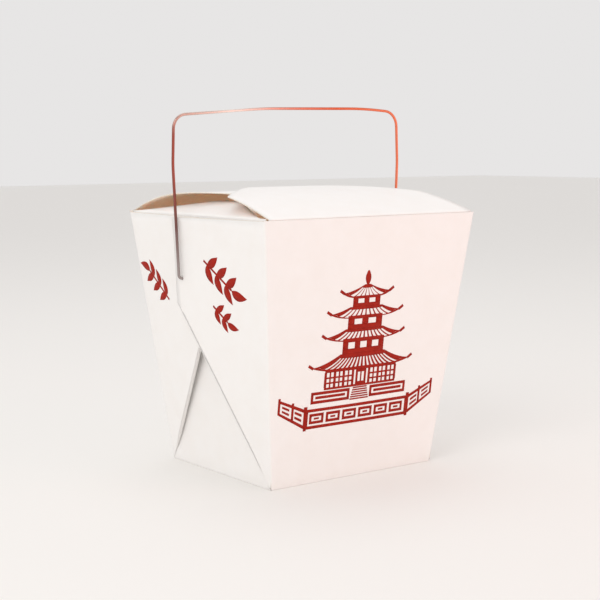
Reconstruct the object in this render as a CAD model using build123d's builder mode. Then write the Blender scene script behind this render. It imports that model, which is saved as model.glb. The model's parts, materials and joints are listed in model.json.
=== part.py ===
from build123d import *
from math import asin, atan2, cos, degrees, hypot, radians, sin, sqrt, tan
import os

# Takeout carton: one folded sheet of coated board with a wire bail through both ends.
# Millimetres, +Z up. The origin is the middle of the carton's base. The wide decorated
# panel is the front, on -Y. The two ends, which carry the folded webs, are on X.

# --- Driving dimensions ------------------------------------------------------------------
# carton, outside faces
bottom_width = 84.0
bottom_depth = 73.0
top_width = 108.0
top_depth = 101.0
height = 108.0
board = 0.5
layer_gap = 0.1  # air between layers of board folded flat on each other

# webs: the doubled triangles folded flat against each end
web_angle = 40.0  # between the carton's corner and the slanting fold, degrees
front_web_lift = 3.6  # how far each web springs open about its corner, degrees
back_web_lift = 1.3
front_web_edge = 10.0  # y of each web's upright free edge
back_web_edge = -5.0
web_top_drop = 0.8  # the webs stop this far below the rim

# front flap: it hinges on the front panel and tucks a tongue into the back flap
flap_inset = 2.0  # both large flaps are cut this far in from the carton's corners
front_rise = 19.3  # slope at its fold, degrees
front_radius = 176.0
front_side_taper = 2.0
fold_clearance = 0.05
tongue_width = 34.0
tongue_shoulder = 2.0  # width of the ledge on each side of the tongue
tongue_root = 6.1  # plan length from that ledge to the upright part of the tongue
tongue_reach = 67.6  # from the flap's fold to the upright part of the tongue
tongue_bend = 2.2  # outside radius
tongue_length = 5.0

# back flap: fixed, it arches under the front flap
back_rise = 30.0
back_turn = 27.0  # degrees turned by the tight arch next to its fold
back_radius = 300.0  # of the flatter stretch beyond the arch
back_overlap = 26.0  # how far it runs on under the front flap past the slit
back_side_taper = 15.0
flap_gap = 0.1  # least gap left between the two large flaps where they overlap
slit_clearance = 0.9  # around the tongue

# end flaps: fixed, they lie under the two flaps above
end_flap_length = 18.5
end_flap_drop = 3.8  # from the front flap's underside down to an end flap's tip
end_flap_inset = 5.0  # from the carton's corners
end_flap_taper = 64.0  # degrees by which each side edge is cut back

# wire bail
wire_diameter = 1.2
wire_hole_clearance = 0.08
bail_y = 5.4
bail_hole_drop = 26.0  # below the rim
bail_rim_clearance = 0.3  # between a leg and the web's top edge
bail_leg_lean = 2.6  # outward, degrees
bail_shoulder_rise = 20.0  # above the rim, where the legs turn upright
bail_corner_draw = 0.7  # the corners are drawn in this far from the shoulders
bail_left_rise = 39.8  # above the rim: the hand-bent top bar's two corners
bail_right_rise = 42.1
bail_crown_rises = (42.9, 43.5)  # and its two crowns
bail_crown_insets = (43.8, 18.8)  # from the corners beside them
bail_left_bend = 6.0
bail_right_bend = 7.0
bail_shoulder_bend = 60.0
bail_crown_bend = 200.0
bail_foot_bend = 1.5
clinch_length = 7.0
clinch_clearance = 0.8  # between the clinched end and the wall inside

# --- Worked out from them ----------------------------------------------------------------
first_gap = board + layer_gap
web_stack = board + first_gap  # two layers
end_recess = 2 * first_gap  # an end panel lies behind the two layers of its webs
width_run = (top_width - bottom_width) / 2
depth_run = (top_depth - bottom_depth) / 2
end_lean = degrees(atan2(width_run, height))
face_lean = degrees(atan2(depth_run, height))
end_length = hypot(height, width_run)
face_length = hypot(height, depth_run)
web_slope = tan(radians(web_angle))
web_head = end_length * (height - web_top_drop) / height
wire_radius = wire_diameter / 2
front_fold_y = -top_depth / 2
back_fold_y = top_depth / 2
flap_root = top_width / 2 - flap_inset
bail_hole_height = height - bail_hole_drop


def half_width(z):
    """Half of the carton's outside width at a height."""
    return bottom_width / 2 + width_run * z / height


def face_plane(side):
    """Outside of the front (side -1) or back (side 1) panel: local y runs up the slope."""
    lean = radians(face_lean)
    outward = (0, side * cos(lean), -sin(lean))
    return Plane(origin=(0, side * bottom_depth / 2, 0), x_dir=(-side, 0, 0), z_dir=outward)


def end_plane():
    """Outside of the -X end where its webs lie flat: local y runs up the slope."""
    lean = radians(end_lean)
    outward = (-cos(lean), 0, -sin(lean))
    return Plane(origin=(-bottom_width / 2, 0, 0), x_dir=(0, -1, 0), z_dir=outward)


def web_plane(side, lift):
    """Outside of a web at the -X end: local x runs up the corner, local y towards +Y."""
    corner = (-width_run, side * depth_run, height)
    origin = (-bottom_width / 2, side * bottom_depth / 2, 0)
    outward = end_plane().z_dir.rotate(Axis((0, 0, 0), corner), -side * lift)
    return Plane(origin=origin, x_dir=corner, z_dir=outward)


def make_web(side, lift, free_edge):
    """One doubled web at the -X end: two layers and the slanting fold that joins them."""
    outside = web_plane(side, lift)
    inward = -side  # local y direction from the corner to the middle of the end
    length = 1.1 * end_length
    spread = inward * length * web_slope
    fold = board / web_slope
    with BuildPart() as doubled:
        with BuildSketch(outside):
            Polygon((0, 0), (length, 0), (length, spread), align=None)
        extrude(amount=-board)
        with BuildSketch(outside.offset(-first_gap)):
            corner = (first_gap / web_slope, inward * first_gap)
            Polygon(corner, (length, inward * first_gap), (length, spread), align=None)
        extrude(amount=-board)
        with BuildSketch(outside):
            fold_top = (length, inward * (length - fold) * web_slope)
            Polygon((0, 0), (fold, 0), fold_top, (length, spread), align=None)
        extrude(amount=-web_stack)
        split(bisect_by=Plane.XY.offset(height - web_top_drop), keep=Keep.BOTTOM)
        free_side = Plane(origin=(0, free_edge, 0), z_dir=(0, inward, 0))
        split(bisect_by=free_side, keep=Keep.BOTTOM)
    return doubled.part


def front_roof(y):
    """Height of the front flap's outside above the rim, at a distance y from the middle."""
    rise = radians(front_rise)
    beyond = front_radius * sin(rise) - (y - front_fold_y)
    return sqrt(front_radius**2 - beyond**2) - front_radius * cos(rise)


def both_sides(points):
    """Plan outline, symmetric about local x = 0, from its points on the +x side."""
    return points + [(-x, y) for x, y in reversed(points)]


# --- Front flap --------------------------------------------------------------------------
# Its side profile is one long arch, then a tight bend down into the tongue. The tongue
# follows the circle about the fold, so that it draws out of its slit as the flap lifts.
arch_reach = tongue_reach - tongue_bend
arch_end_slope = degrees(asin(sin(radians(front_rise)) - arch_reach / front_radius))
arch_top = front_radius * (cos(radians(arch_end_slope)) - cos(radians(front_rise)))
tongue_slope = degrees(atan2(arch_top, tongue_reach)) - 90
tongue_y = front_fold_y + tongue_reach
ledge_y = tongue_y - tongue_root
ledge_x = tongue_width / 2 + tongue_shoulder
front_side_x = flap_root - front_side_taper

with BuildPart() as front_flap:
    with BuildSketch(Plane.YZ):
        with BuildLine():
            rise = radians(front_rise)
            arch = JernArc(
                start=(front_fold_y, height),
                tangent=(cos(rise), sin(rise)),
                radius=front_radius,
                arc_size=arch_end_slope - front_rise,
            )
            bend = JernArc(arch @ 1, arch % 1, tongue_bend, tongue_slope - arch_end_slope)
            Line(bend @ 1, bend @ 1 + tongue_length * (bend % 1))
            offset(amount=board, side=Side.RIGHT)
        make_face()
    extrude(amount=flap_root, both=True)
    with BuildSketch(Plane.XY.offset(height / 2)):
        outline = [
            (flap_root, front_fold_y - board),
            (front_side_x, ledge_y - (front_side_x - ledge_x)),
            (ledge_x, ledge_y),
            (tongue_width / 2, ledge_y),
            (tongue_width / 2, back_fold_y),
        ]
        Polygon(*both_sides(outline), align=None)
    extrude(amount=height, mode=Mode.INTERSECT)

# --- Back flap: part of the carton's sheet -------------------------------------------------
# Its side profile is a tight arch and then a flatter stretch that runs under the front flap.
arch_end = radians(back_rise - back_turn)
back_tip_y = tongue_y - back_overlap
back_crown = min(front_roof(back_tip_y), front_roof(tongue_y)) - board - flap_gap
arch_crown = back_crown - back_radius * (1 - cos(arch_end))
arch_radius = arch_crown / (cos(arch_end) - cos(radians(back_rise)))
arch_run = arch_radius * (sin(radians(back_rise)) - sin(arch_end))
flat_run = back_fold_y - arch_run - back_tip_y
flat_turn = degrees(arch_end - asin(sin(arch_end) - flat_run / back_radius))

with BuildPart() as back_flap:
    with BuildSketch(Plane.YZ):
        with BuildLine():
            rise = radians(180 - back_rise)
            arch = JernArc(
                start=(back_fold_y, height),
                tangent=(cos(rise), sin(rise)),
                radius=arch_radius,
                arc_size=back_turn,
            )
            JernArc(arch @ 1, arch % 1, back_radius, flat_turn)
            offset(amount=board, side=Side.LEFT)
        make_face()
    extrude(amount=flap_root, both=True)
    with BuildSketch(Plane.XY.offset(height / 2)):
        outline = [
            (flap_root - back_side_taper, back_tip_y - board),
            (flap_root, back_fold_y + board),
        ]
        Polygon(*both_sides(outline), align=None)
    extrude(amount=height, mode=Mode.INTERSECT)
    with BuildSketch(Plane.XY.offset(height)):
        with Locations((0, tongue_y - board / 2)):
            Rectangle(tongue_width + 2 * slit_clearance, board + 2 * slit_clearance)
    extrude(amount=height, mode=Mode.SUBTRACT)

# --- Carton ------------------------------------------------------------------------------
front_web = make_web(-1, front_web_lift, front_web_edge)
back_web = make_web(1, back_web_lift, back_web_edge)
front_top = height - board - fold_clearance

with BuildPart() as carton:
    # one end, on -X: its panel, the folds that carry the webs, the webs and the end flap
    with BuildSketch(end_plane().offset(-end_recess)):
        foot = (bottom_depth / 2 - first_gap, 0)
        head = (top_depth / 2 - first_gap, end_length)
        Polygon(*both_sides([foot, head]), align=None)
    extrude(amount=-board)
    with BuildSketch(end_plane().offset(-first_gap)):
        for side in (-1, 1):
            outer_foot = (side * (bottom_depth / 2 - first_gap), 0)
            outer_head = (side * (top_depth / 2 - first_gap), web_head)
            inner_head = (side * (top_depth / 2 - web_stack), web_head)
            inner_foot = (side * (bottom_depth / 2 - web_stack), 0)
            Polygon(outer_foot, outer_head, inner_head, inner_foot, align=None)
    extrude(amount=-end_recess)
    add(front_web)
    add(back_web)
    root = top_depth / 2 - end_flap_inset
    tip = root - end_flap_length * tan(radians(end_flap_taper))
    lean = asin((front_roof(-tip) - board - end_flap_drop) / end_flap_length)
    end_fold = (end_recess - top_width / 2, 0, height)
    with BuildSketch(Plane(end_fold, x_dir=(0, -1, 0), z_dir=(-sin(lean), 0, cos(lean)))):
        outline = [(root, 0), (tip, end_flap_length)]
        Polygon(*both_sides(outline), align=None)
    extrude(amount=-board)
    mirror(about=Plane.YZ)

    # base
    with BuildSketch():
        Rectangle(bottom_width - 2 * end_recess, bottom_depth)
    extrude(amount=board)

    # front panel: it stops just under the front flap's fold
    with BuildSketch(face_plane(-1)):
        foot = (bottom_width / 2, 0)
        head = (half_width(front_top), face_length * front_top / height)
        Polygon(*both_sides([foot, head]), align=None)
    extrude(amount=-board)

    # back panel and the back flap that it carries
    with BuildSketch(face_plane(1)):
        head = (top_width / 2, face_length)
        Polygon(*both_sides([foot, head]), align=None)
    extrude(amount=-board)
    add(back_flap.part)

    # holes for the wire, through all five layers of each end
    with BuildSketch(Plane.YZ):
        with Locations((bail_y, bail_hole_height)):
            Circle(wire_radius + wire_hole_clearance)
    extrude(amount=top_width, both=True, mode=Mode.SUBTRACT)

# --- Wire bail ---------------------------------------------------------------------------
# Each leg leans out past the sprung web's top edge, turns upright at its shoulder and
# rises to a tight corner. Inside the carton the end is clinched down behind the wall.
web_spring = (top_depth / 2 + bail_y) * sin(radians(front_web_lift))
rim_x = top_width / 2 + web_spring + bail_rim_clearance + wire_radius
leg_slope = tan(radians(bail_leg_lean))
foot_x = rim_x - bail_hole_drop * leg_slope
shoulder_x = rim_x + bail_shoulder_rise * leg_slope
corner_x = shoulder_x - bail_corner_draw
inside_x = half_width(bail_hole_height - clinch_length) - end_recess - board
clinch_x = inside_x - clinch_clearance - wire_radius
clinch_end = bail_hole_height - clinch_length

with BuildPart() as wire_bail:
    with BuildLine(Plane.XZ.offset(-bail_y)) as route:
        left = [
            (-clinch_x, clinch_end),
            (-clinch_x, bail_hole_height),
            (-foot_x, bail_hole_height),
            (-shoulder_x, height + bail_shoulder_rise),
            (-corner_x, height + bail_left_rise),
        ]
        right = [
            (corner_x, height + bail_right_rise),
            (shoulder_x, height + bail_shoulder_rise),
            (foot_x, bail_hole_height),
            (clinch_x, bail_hole_height),
            (clinch_x, clinch_end),
        ]
        crown = [
            (bail_crown_insets[0] - corner_x, height + bail_crown_rises[0]),
            (corner_x - bail_crown_insets[1], height + bail_crown_rises[1]),
        ]
        feet = [bail_foot_bend, bail_foot_bend, bail_shoulder_bend]
        top = [bail_left_bend, bail_crown_bend, bail_crown_bend, bail_right_bend]
        FilletPolyline(*left, *crown, *right, radius=feet + top + feet[::-1])
    with BuildSketch(Plane(route.line @ 0, z_dir=route.line % 0)):
        Circle(wire_radius)
    sweep()

# --- Export ------------------------------------------------------------------------------
os.makedirs("parts", exist_ok=True)
carton.part.label = "carton"
export_step(carton.part, "parts/carton.step")
front_flap.part.label = "front_flap"
export_step(front_flap.part, "parts/front_flap.step")
wire_bail.part.label = "wire_bail"
export_step(wire_bail.part, "parts/wire_bail.step")
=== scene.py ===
# %% [markdown]
# The frame is the imported model: its nodes, bodies, joints and sizes, all in metres.

# %% Load the frame
import json
from math import asin, atan2, ceil, cos, degrees, hypot, pi, radians, sin, sqrt, tan

import bmesh
import bpy
from mathutils import Matrix, Vector


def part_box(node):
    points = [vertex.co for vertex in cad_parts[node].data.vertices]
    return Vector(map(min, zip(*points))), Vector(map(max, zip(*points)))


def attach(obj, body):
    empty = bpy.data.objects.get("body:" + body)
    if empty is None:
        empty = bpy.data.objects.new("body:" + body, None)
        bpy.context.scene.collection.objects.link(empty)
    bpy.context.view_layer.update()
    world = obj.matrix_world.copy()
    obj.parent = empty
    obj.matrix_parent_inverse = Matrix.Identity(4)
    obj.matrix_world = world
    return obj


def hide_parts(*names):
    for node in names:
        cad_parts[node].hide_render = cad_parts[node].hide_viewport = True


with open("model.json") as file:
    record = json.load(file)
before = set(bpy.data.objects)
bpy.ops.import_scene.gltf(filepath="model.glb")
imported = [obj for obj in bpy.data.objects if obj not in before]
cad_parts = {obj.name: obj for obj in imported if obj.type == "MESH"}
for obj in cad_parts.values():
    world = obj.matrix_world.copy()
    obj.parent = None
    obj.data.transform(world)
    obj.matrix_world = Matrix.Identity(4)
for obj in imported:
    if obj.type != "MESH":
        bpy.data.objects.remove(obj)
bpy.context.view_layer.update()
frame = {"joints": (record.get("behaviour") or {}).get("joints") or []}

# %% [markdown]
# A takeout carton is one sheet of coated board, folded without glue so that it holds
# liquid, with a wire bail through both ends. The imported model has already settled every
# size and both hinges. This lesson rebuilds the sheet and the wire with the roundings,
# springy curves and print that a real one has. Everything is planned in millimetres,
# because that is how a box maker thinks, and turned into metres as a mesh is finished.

MM = 0.001


def finish_piece(name, bm, body, materials, sharp_degrees=32):
    """Turn a bmesh planned in millimetres into a finished piece that rides on a body."""
    bmesh.ops.transform(bm, matrix=Matrix.Scale(MM, 4), verts=bm.verts)
    mesh = bpy.data.meshes.new(name)
    bm.to_mesh(mesh)
    bm.free()
    piece = bpy.data.objects.new(name, mesh)
    bpy.context.scene.collection.objects.link(piece)
    mesh.polygons.foreach_set("use_smooth", [True] * len(mesh.polygons))
    mesh.set_sharp_from_angle(angle=radians(sharp_degrees))
    for material in materials:
        mesh.materials.append(material)
    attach(piece, body)
    return piece


def blend_step(a, b, x):
    """0 below a, 1 above b, and a smooth climb between them."""
    t = min(max((x - a) / (b - a), 0.0), 1.0)
    return t * t * (3 - 2 * t)


# %% [markdown]
# Where the frame holds a size, it is read from there, so that the looks can't drift away
# from the model: the flap's hinge gives the rim and the depth there, the wire's hinge gives
# the holes, and the wire's box gives its spread. The other widths and the board's thickness
# repeat the construction's driving sizes.

# %% Sizes from the frame
joints = {joint["name"]: joint for joint in frame["joints"]}
rim_fold = Vector(joints["front_flap_hinge"]["pos_m"]) / MM
wire_hinge = Vector(joints["bail_swing"]["pos_m"]) / MM
wire_low, wire_high = (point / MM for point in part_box("wire_bail"))

RIM = rim_fold.z
TOP_DEPTH = -2 * rim_fold.y
TOP_WIDTH, BOTTOM_WIDTH, BOTTOM_DEPTH = 108.0, 84.0, 73.0
BOARD_THICK = 0.5
LAYER = BOARD_THICK + 0.1
print("rim height", RIM, "top depth", TOP_DEPTH, "wire hinge", tuple(wire_hinge))

# %% [markdown]
# Before any modelling, the camera: a long lens a little above the carton's middle, turned
# so that the printed front takes two thirds of the view and one folded end the rest. A
# short lens close by would make the tapered sides flare, and hide how even they are.

# %% Camera
CAMERA_AT = Vector((-345.82, -463.77, 135.11))
CAMERA_AIM = Vector((1.04, 1.40, 69.4))
CAMERA_LENS = 81.43
CAMERA_ROLL = -0.3

camera_data = bpy.data.cameras.new("camera")
camera_data.lens = CAMERA_LENS
camera_data.sensor_width = 36
camera_data.clip_start = 0.01
camera = bpy.data.objects.new("camera", camera_data)
look = (CAMERA_AIM - CAMERA_AT).to_track_quat("-Z", "Y").to_matrix().to_4x4()
roll = Matrix.Rotation(radians(CAMERA_ROLL), 4, "Z")
camera.matrix_world = Matrix.Translation(CAMERA_AT * MM) @ look @ roll
bpy.context.scene.collection.objects.link(camera)
bpy.context.scene.camera = camera
print("camera", round(CAMERA_LENS), "mm lens,", round((CAMERA_AIM - CAMERA_AT).length), "mm off")

# %% [markdown]
# White board is judged by its edges, so the light is soft and comes mostly from one side. A
# large key on the left lights the end, a wide weak fill opens the front, one above draws a
# line along the flaps' domes, and a faint warm bounce from low down warms the front's foot.
# An even pale world fills the rest.

# %% Studio
def area_light(name, place, aim, size, power, colour):
    """A soft square light; its place and aim are in metres."""
    data = bpy.data.lights.new(name, "AREA")
    data.shape = "SQUARE"
    data.size = size
    data.energy = power
    data.color = colour
    light = bpy.data.objects.new(name, data)
    turn = (Vector(aim) - Vector(place)).to_track_quat("-Z", "Y").to_matrix().to_4x4()
    light.matrix_world = Matrix.Translation(place) @ turn
    bpy.context.scene.collection.objects.link(light)
    return light


area_light("key", (-0.75, -0.35, 0.75), (0, 0, 0.06), 0.55, 2.1, (1.0, 0.98, 0.96))
area_light("fill", (0.55, -0.95, 0.45), (0, 0, 0.07), 0.8, 0.25, (1.0, 0.98, 0.97))
area_light("bounce", (0.26, -0.46, 0.1), (0.02, -0.04, 0.02), 0.25, 0.3, (1.0, 0.32, 0.22))
area_light("top", (0.1, 0.25, 1.0), (0, 0, 0.1), 0.6, 1.0, (1.0, 1.0, 1.0))

world = bpy.data.worlds.new("studio")
bpy.context.scene.world = world
world.use_nodes = True
background = world.node_tree.nodes["Background"]
background.inputs["Color"].default_value = (1.0, 0.985, 0.98, 1.0)
background.inputs["Strength"].default_value = 0.8
bpy.context.scene.view_settings.view_transform = "Standard"
print("world strength", background.inputs["Strength"].default_value)

# %% [markdown]
# Each finish is a small node network. One helper turns a printed hex colour into the
# linear numbers that a shader works in, and one adds a node with its settings and links.

# %% Helpers for finishes
def colour(hex_text, alpha=1.0):
    """A linear colour from an sRGB hex value."""
    values = [int(hex_text[i : i + 2], 16) / 255 for i in (0, 2, 4)]
    linear = [v / 12.92 if v <= 0.04045 else ((v + 0.055) / 1.055) ** 2.4 for v in values]
    return (*linear, alpha)


def new_material(name):
    """An empty node material with its shader; returns (material, tree, shader)."""
    material = bpy.data.materials.new(name)
    material.use_nodes = True
    tree = material.node_tree
    return material, tree, tree.nodes["Principled BSDF"]


def add_node(tree, kind, settings=None, inputs=None, links=None, stops=None):
    """Add a node; settings are its properties, inputs its values, links its sources.

    A colour ramp also takes its stops, as (position, colour) pairs.
    """
    node = tree.nodes.new(kind)
    for key, value in (settings or {}).items():
        setattr(node, key, value)
    for key, value in (inputs or {}).items():
        node.inputs[key].default_value = value
    for key, source in (links or {}).items():
        tree.links.new(source, node.inputs[key])
    for number, (position, value) in enumerate(stops or []):
        elements = node.color_ramp.elements
        element = elements[number] if number < 2 else elements.new(position)
        element.position = position
        element.color = value
    return node


# %% [markdown]
# None of the carton's surfaces is one even colour. What they share is a cloudy tint: noise
# at the size of the real unevenness, turned by a colour ramp into two close shades.

# %% A cloudy tint
def cloudy_tint(tree, shader, cloud_mm, detail, roughness, dark, light):
    """Tint the surface between two shades; returns its place and the cloud's node."""
    place = add_node(tree, "ShaderNodeTexCoord").outputs["Object"]
    cloud = add_node(
        tree,
        "ShaderNodeTexNoise",
        inputs={"Scale": 1 / (cloud_mm * MM), "Detail": detail, "Roughness": roughness},
        links={"Vector": place},
    )
    tint = add_node(
        tree,
        "ShaderNodeValToRGB",
        links={"Fac": cloud.outputs["Fac"]},
        stops=[(0.3, colour(dark)), (0.7, colour(light))],
    )
    tree.links.new(tint.outputs["Color"], shader.inputs["Base Color"])
    return place, cloud


# %% [markdown]
# The board is bleached sulphate board with a thin polythene coat. The coat gives a soft
# satin sheen, the fibres under it show as a faint cloudiness and the calender leaves a
# very fine grain. Both are drawn a little coarser than real, so that they can be seen.

# %% Finish: coated bleached board
FIBRE_CLOUD_MM = 9.0
FIBRE_GRAIN_MM = 0.55  # real grain is nearer 0.2 mm, which is too fine to show


def make_coated_board():
    material, tree, shader = new_material("poly_coated_bleached_board")
    place, cloud = cloudy_tint(tree, shader, FIBRE_CLOUD_MM, 4.0, 0.6, "F9F6F3", "FBF9F7")
    grain = add_node(
        tree,
        "ShaderNodeTexNoise",
        inputs={"Scale": 1 / (FIBRE_GRAIN_MM * MM), "Detail": 2.0},
        links={"Vector": place},
    )
    gloss = add_node(
        tree,
        "ShaderNodeMapRange",
        inputs={"From Min": 0.3, "From Max": 0.7, "To Min": 0.46, "To Max": 0.5},
        links={"Value": cloud.outputs["Fac"]},
    )
    tree.links.new(gloss.outputs["Result"], shader.inputs["Roughness"])
    relief = add_node(
        tree,
        "ShaderNodeBump",
        inputs={"Strength": 0.18, "Distance": 0.02 * MM},
        links={"Height": grain.outputs["Fac"]},
    )
    tree.links.new(relief.outputs["Normal"], shader.inputs["Normal"])
    shader.inputs["IOR"].default_value = 1.5
    shader.inputs["Coat Weight"].default_value = 0.12
    shader.inputs["Coat Roughness"].default_value = 0.3
    return material


board_finish = make_coated_board()
print(board_finish.name, len(board_finish.node_tree.nodes), "nodes")

# %% [markdown]
# Where the sheet was die cut, its edge shows bare fibre: matt, and creamier than the
# coated faces. It is a finish of its own, because these thin lines outline every fold.

# %% Finish: cut board edge
EDGE_FIBRE_MM = 0.8


def make_cut_edge():
    material, tree, shader = new_material("die_cut_board_edge")
    cloudy_tint(tree, shader, EDGE_FIBRE_MM, 3.0, 0.5, "EADFD0", "F5EFE6")
    shader.inputs["Roughness"].default_value = 0.85
    return material


edge_finish = make_cut_edge()
print(edge_finish.name, len(edge_finish.node_tree.nodes), "nodes")

# %% [markdown]
# The food side is coloured a warm peach, which is painted warm shade: it stands in for the
# orange brown of the shaded mouth of a nearly closed carton, not for the board's own colour.
# Half a millimetre of board also lets some light through, mostly red, and subsurface
# scattering carries that light across.

# %% Finish: inside of the board
INSIDE_FIBRE_MM = 1.6
LIGHT_PATH_MM = 3.2  # how far red light travels in the board: more than its thickness


def make_inside():
    material, tree, shader = new_material("board_inside_painted_warm_shade")
    # Painted warm shade: these two peach shades stand in for the shade inside the carton.
    _, fibre = cloudy_tint(tree, shader, INSIDE_FIBRE_MM, 4.0, 0.6, "F0CBB8", "F6DACB")
    relief = add_node(
        tree,
        "ShaderNodeBump",
        inputs={"Strength": 0.25, "Distance": 0.02 * MM},
        links={"Height": fibre.outputs["Fac"]},
    )
    tree.links.new(relief.outputs["Normal"], shader.inputs["Normal"])
    shader.inputs["Roughness"].default_value = 0.75
    shader.inputs["Subsurface Weight"].default_value = 1.0
    shader.inputs["Subsurface Radius"].default_value = (1.0, 0.6, 0.48)
    shader.inputs["Subsurface Scale"].default_value = LIGHT_PATH_MM * MM
    return material


inside_painted_shade_finish = make_inside()
print(inside_painted_shade_finish.name, len(inside_painted_shade_finish.node_tree.nodes), "nodes")

# %% [markdown]
# The print is one flexographic ink, a brick red. The soft plate lays it a little unevenly,
# so the ink is cloudy at the scale of a few millimetres and less glossy than the board.

# %% Finish: printed ink
INK_CLOUD_MM = 2.5


def make_ink():
    material, tree, shader = new_material("flexographic_brick_red_ink")
    cloudy_tint(tree, shader, INK_CLOUD_MM, 5.0, 0.7, "981606", "B0220A")
    shader.inputs["Roughness"].default_value = 0.6
    shader.inputs["Specular IOR Level"].default_value = 0.2
    return material


ink_finish = make_ink()
print(ink_finish.name, len(ink_finish.node_tree.nodes), "nodes")

# %% [markdown]
# The bail is bright steel wire, drawn through a die, so it shines in a soft streak along its
# length. Its colour is painted by place along the wire: a painted red orange reflection that
# is richest on the right, pale at the crown's left end, darker on the left leg, and grey near
# the holes. Noise makes each change wander.

# %% Finish: steel wire with painted reflection
# Painted reflection: the red and orange stops stand in for red light reflected in the wire.
CROWN_STOPS = [  # from the crown's left end to its right
    (0.0, colour("C9A79C")),
    (0.16, colour("F2E2DA")),
    (0.5, colour("DD8E7C")),
    (0.8, colour("E06A48")),
    (1.0, colour("EE8464")),
]
LEG_STOPS = [  # from the hole upwards
    (0.0, colour("A79C9A")),
    (0.4, colour("7E5A56")),
    (1.0, colour("A85A4E")),
]
TINT_GRAIN_MM = 7.0
TINT_WANDER_MM = 9.0  # how far the painted colour strays from an even change of colour
WIRE_SPANS = {  # where each change along the wire starts and ends, in millimetres
    "crown": ("X", -58, 64),
    "leg": ("Z", RIM - 22, RIM + 26),
    "on_crown": ("Z", RIM + 36, RIM + 46),
    "right": ("X", -10, 40),
    "right_reflection_climb": ("Z", RIM - 14, RIM + 8),
}


def make_wire_finish():
    material, tree, shader = new_material("steel_wire_painted_reflection")
    place = add_node(tree, "ShaderNodeTexCoord").outputs["Object"]
    tint_noise = add_node(
        tree,
        "ShaderNodeTexNoise",
        inputs={"Scale": 1 / (TINT_GRAIN_MM * MM), "Detail": 3.0},
        links={"Vector": place},
    )
    wander = add_node(
        tree,
        "ShaderNodeVectorMath",
        {"operation": "SCALE"},
        {"Scale": TINT_WANDER_MM * MM},
        {"Vector": tint_noise.outputs["Color"]},
    )
    moved = add_node(
        tree,
        "ShaderNodeVectorMath",
        {"operation": "ADD"},
        links={0: place, 1: wander.outputs["Vector"]},
    )
    parts = add_node(tree, "ShaderNodeSeparateXYZ", links={"Vector": moved.outputs["Vector"]})
    share = {}
    for name, (axis, low, high) in WIRE_SPANS.items():
        node = add_node(
            tree,
            "ShaderNodeMapRange",
            {"interpolation_type": "SMOOTHSTEP"},
            {"From Min": low * MM, "From Max": high * MM},
            {"Value": parts.outputs[axis]},
        )
        share[name] = node.outputs["Result"]
    tints = {}
    for name, stops in (("crown", CROWN_STOPS), ("leg", LEG_STOPS)):
        node = add_node(tree, "ShaderNodeValToRGB", links={"Fac": share[name]}, stops=stops)
        tints[name] = node.outputs["Color"]
    mixes = [  # name, share, and the two colours between which it goes; 6 and 7 are A and B
        ("left", "on_crown", "leg", "crown"),
        ("right_side", "right_reflection_climb", "leg", "crown"),
        ("wire", "right", "left", "right_side"),
    ]
    for name, amount, first, second in mixes:
        sources = {0: share[amount], 6: tints[first], 7: tints[second]}
        node = add_node(tree, "ShaderNodeMix", {"data_type": "RGBA"}, links=sources)
        tints[name] = node.outputs[2]
    tree.links.new(tints["wire"], shader.inputs["Base Color"])
    shader.inputs["Metallic"].default_value = 1.0
    shader.inputs["Roughness"].default_value = 0.32
    return material


wire_finish = make_wire_finish()
print(wire_finish.name, len(wire_finish.node_tree.nodes), "nodes")

# %% [markdown]
# The floor is a plain pale sheet, far wider than the view, so that no edge of it shows.

# %% Floor
FLOOR_HALF = 4.0  # metres


def make_floor():
    bm = bmesh.new()
    bmesh.ops.create_grid(bm, x_segments=2, y_segments=2, size=FLOOR_HALF)
    mesh = bpy.data.meshes.new("floor")
    bm.to_mesh(mesh)
    bm.free()
    floor = bpy.data.objects.new("floor", mesh)
    bpy.context.scene.collection.objects.link(floor)
    material, _, shader = new_material("pale_studio_floor")
    shader.inputs["Base Color"].default_value = colour("F4F2EF")
    shader.inputs["Roughness"].default_value = 0.7
    mesh.materials.append(material)
    return floor


print("floor", tuple(round(side, 1) for side in make_floor().dimensions))

# %% [markdown]
# The folds. A corner of the carton is a straight crease from base to rim, and all the
# panels hang on the four corners. So one function gives a point on a corner, and the
# panels are blends between two of them.

# %% The carton's corners and panels as functions
def corner(side_x, side_y, z):
    """A point on one of the four corner creases, at a height."""
    share = z / RIM
    x = BOTTOM_WIDTH / 2 + (TOP_WIDTH - BOTTOM_WIDTH) / 2 * share
    y = BOTTOM_DEPTH / 2 + (TOP_DEPTH - BOTTOM_DEPTH) / 2 * share
    return Vector((side_x * x, side_y * y, z))


END_NORMAL = Vector((-RIM, 0, -(TOP_WIDTH - BOTTOM_WIDTH) / 2)).normalized()
FACE_NORMAL = Vector((0, -RIM, -(TOP_DEPTH - BOTTOM_DEPTH) / 2)).normalized()
FACE_BOW = 0.9  # food and folding push the wide panels out a little
END_DISH = 0.6  # and the ends are drawn in


def face_point(side_y, across, z):
    """A point on the front (-1) or back (1) panel: across runs from -1 to 1."""
    left, right = corner(-1, side_y, z), corner(1, side_y, z)
    point = left.lerp(right, (across + 1) / 2)
    swell = FACE_BOW * (1 - across**2) * sin(pi * min(z / RIM, 1)) ** 0.8
    outward = Vector((0, -side_y * FACE_NORMAL.y, FACE_NORMAL.z))
    return point + outward * swell


def grid_sheet(bm, columns, rows, place):
    """A grid whose corners are moved to place(u, v); u and v run from 0 to 1."""
    made = bmesh.ops.create_grid(bm, x_segments=columns, y_segments=rows, size=0.5)
    for vert in made["verts"]:
        vert.co = place(vert.co.x + 0.5, vert.co.y + 0.5)
    return made["verts"]


def stations(stops):
    """Spread a grid's even parameter over uneven stops."""
    return lambda t: stops[round(t * (len(stops) - 1))]


def even(a, b, count):
    """count + 1 evenly spaced values from a to b."""
    return [a + (b - a) * i / count for i in range(count + 1)]


print("corner at the rim", tuple(corner(1, 1, RIM)))

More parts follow.
